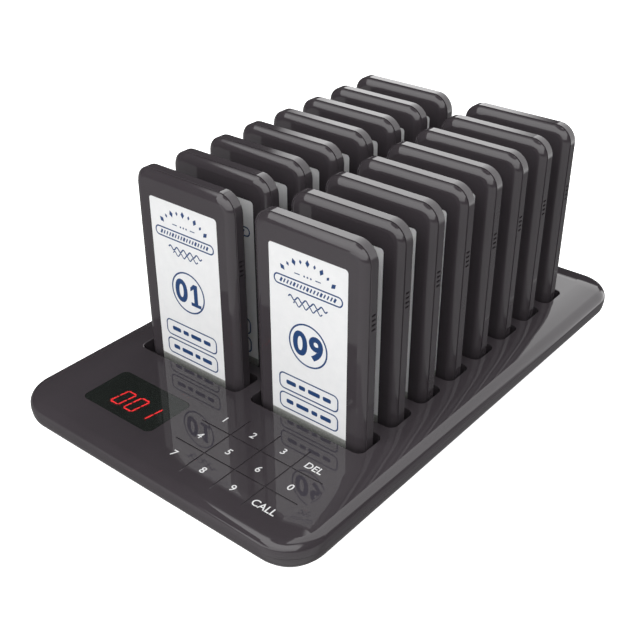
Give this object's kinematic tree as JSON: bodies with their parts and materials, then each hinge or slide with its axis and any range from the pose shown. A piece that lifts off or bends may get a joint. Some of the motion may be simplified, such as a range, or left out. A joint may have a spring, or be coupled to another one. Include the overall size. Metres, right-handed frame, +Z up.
{
  "type": "guest pager system",
  "caption": "Table-top charging and calling base with a touch keypad and small number display, holding slim rectangular guest pagers upright in a double column of slots.",
  "frame": {"origin": "on the surface the rubber feet stand on, under the middle of the base housing", "axes": "+Z up, -Y towards the keypad and the person using it, +X to that person's right"},
  "size_m": [0.156, 0.248, 0.1112],
  "materials": {
    "housing_top": "piano-gloss dark grey ABS, slight warm tint",
    "housing_bottom": "fine-textured dark grey ABS",
    "display_window": "smoked clear acrylic",
    "led_module": "black LED block with red segments",
    "circuit_board": "green solder mask with components",
    "screw_steel": "zinc-plated steel",
    "foot_rubber": "matte black rubber",
    "connector_black": "black moulded nylon",
    "rocker_black": "glossy black moulded nylon",
    "pager_rear": "piano-gloss dark grey ABS",
    "pager_front": "piano-gloss dark grey ABS with a recess for the paper card",
    "pager_electronics": "circuit board, lithium cell, buzzer, motor and lamps"
  },
  "bodies": {
    "base": {"top_cover": "housing_top", "bottom_shell": "housing_bottom", "display_window": "display_window", "display_module": "led_module", "touch_board": "circuit_board", "main_board": "circuit_board", "charging_board": "circuit_board", "screws": "screw_steel", "rubber_feet": "foot_rubber", "dc_jack": "connector_black", "switch_frame": "connector_black"},
    "pager_01": {"pager_01_rear_shell": "pager_rear", "pager_01_front_shell": "pager_front", "pager_01_internals": "pager_electronics"},
    "pager_02": {"pager_02_rear_shell": "pager_rear", "pager_02_front_shell": "pager_front", "pager_02_internals": "pager_electronics"},
    "pager_03": {"pager_03_rear_shell": "pager_rear", "pager_03_front_shell": "pager_front", "pager_03_internals": "pager_electronics"},
    "pager_04": {"pager_04_rear_shell": "pager_rear", "pager_04_front_shell": "pager_front", "pager_04_internals": "pager_electronics"},
    "pager_05": {"pager_05_rear_shell": "pager_rear", "pager_05_front_shell": "pager_front", "pager_05_internals": "pager_electronics"},
    "pager_06": {"pager_06_rear_shell": "pager_rear", "pager_06_front_shell": "pager_front", "pager_06_internals": "pager_electronics"},
    "pager_07": {"pager_07_rear_shell": "pager_rear", "pager_07_front_shell": "pager_front", "pager_07_internals": "pager_electronics"},
    "pager_08": {"pager_08_rear_shell": "pager_rear", "pager_08_front_shell": "pager_front", "pager_08_internals": "pager_electronics"},
    "pager_09": {"pager_09_rear_shell": "pager_rear", "pager_09_front_shell": "pager_front", "pager_09_internals": "pager_electronics"},
    "pager_10": {"pager_10_rear_shell": "pager_rear", "pager_10_front_shell": "pager_front", "pager_10_internals": "pager_electronics"},
    "pager_11": {"pager_11_rear_shell": "pager_rear", "pager_11_front_shell": "pager_front", "pager_11_internals": "pager_electronics"},
    "pager_12": {"pager_12_rear_shell": "pager_rear", "pager_12_front_shell": "pager_front", "pager_12_internals": "pager_electronics"},
    "pager_13": {"pager_13_rear_shell": "pager_rear", "pager_13_front_shell": "pager_front", "pager_13_internals": "pager_electronics"},
    "pager_14": {"pager_14_rear_shell": "pager_rear", "pager_14_front_shell": "pager_front", "pager_14_internals": "pager_electronics"},
    "pager_15": {"pager_15_rear_shell": "pager_rear", "pager_15_front_shell": "pager_front", "pager_15_internals": "pager_electronics"},
    "pager_16": {"pager_16_rear_shell": "pager_rear", "pager_16_front_shell": "pager_front", "pager_16_internals": "pager_electronics"},
    "power_rocker": {"switch_rocker": "rocker_black"}
  },
  "joints": [
    {"name": "lift_pager_01", "type": "slide", "parent": "base", "child": "pager_01", "axis": [0, 0, 1], "range_m": [0, 0.105]},
    {"name": "lift_pager_02", "type": "slide", "parent": "base", "child": "pager_02", "axis": [0, 0, 1], "range_m": [0, 0.105]},
    {"name": "lift_pager_03", "type": "slide", "parent": "base", "child": "pager_03", "axis": [0, 0, 1], "range_m": [0, 0.105]},
    {"name": "lift_pager_04", "type": "slide", "parent": "base", "child": "pager_04", "axis": [0, 0, 1], "range_m": [0, 0.105]},
    {"name": "lift_pager_05", "type": "slide", "parent": "base", "child": "pager_05", "axis": [0, 0, 1], "range_m": [0, 0.105]},
    {"name": "lift_pager_06", "type": "slide", "parent": "base", "child": "pager_06", "axis": [0, 0, 1], "range_m": [0, 0.105]},
    {"name": "lift_pager_07", "type": "slide", "parent": "base", "child": "pager_07", "axis": [0, 0, 1], "range_m": [0, 0.105]},
    {"name": "lift_pager_08", "type": "slide", "parent": "base", "child": "pager_08", "axis": [0, 0, 1], "range_m": [0, 0.105]},
    {"name": "lift_pager_09", "type": "slide", "parent": "base", "child": "pager_09", "axis": [0, 0, 1], "range_m": [0, 0.105]},
    {"name": "lift_pager_10", "type": "slide", "parent": "base", "child": "pager_10", "axis": [0, 0, 1], "range_m": [0, 0.105]},
    {"name": "lift_pager_11", "type": "slide", "parent": "base", "child": "pager_11", "axis": [0, 0, 1], "range_m": [0, 0.105]},
    {"name": "lift_pager_12", "type": "slide", "parent": "base", "child": "pager_12", "axis": [0, 0, 1], "range_m": [0, 0.105]},
    {"name": "lift_pager_13", "type": "slide", "parent": "base", "child": "pager_13", "axis": [0, 0, 1], "range_m": [0, 0.105]},
    {"name": "lift_pager_14", "type": "slide", "parent": "base", "child": "pager_14", "axis": [0, 0, 1], "range_m": [0, 0.105]},
    {"name": "lift_pager_15", "type": "slide", "parent": "base", "child": "pager_15", "axis": [0, 0, 1], "range_m": [0, 0.105]},
    {"name": "lift_pager_16", "type": "slide", "parent": "base", "child": "pager_16", "axis": [0, 0, 1], "range_m": [0, 0.105]},
    {"name": "power_rocker_tilt", "type": "hinge", "parent": "base", "child": "power_rocker", "pos_m": [0.01, 0.1114, 0.0091], "axis": [0, 0, 1], "range_deg": [0, 16]}
  ]
}
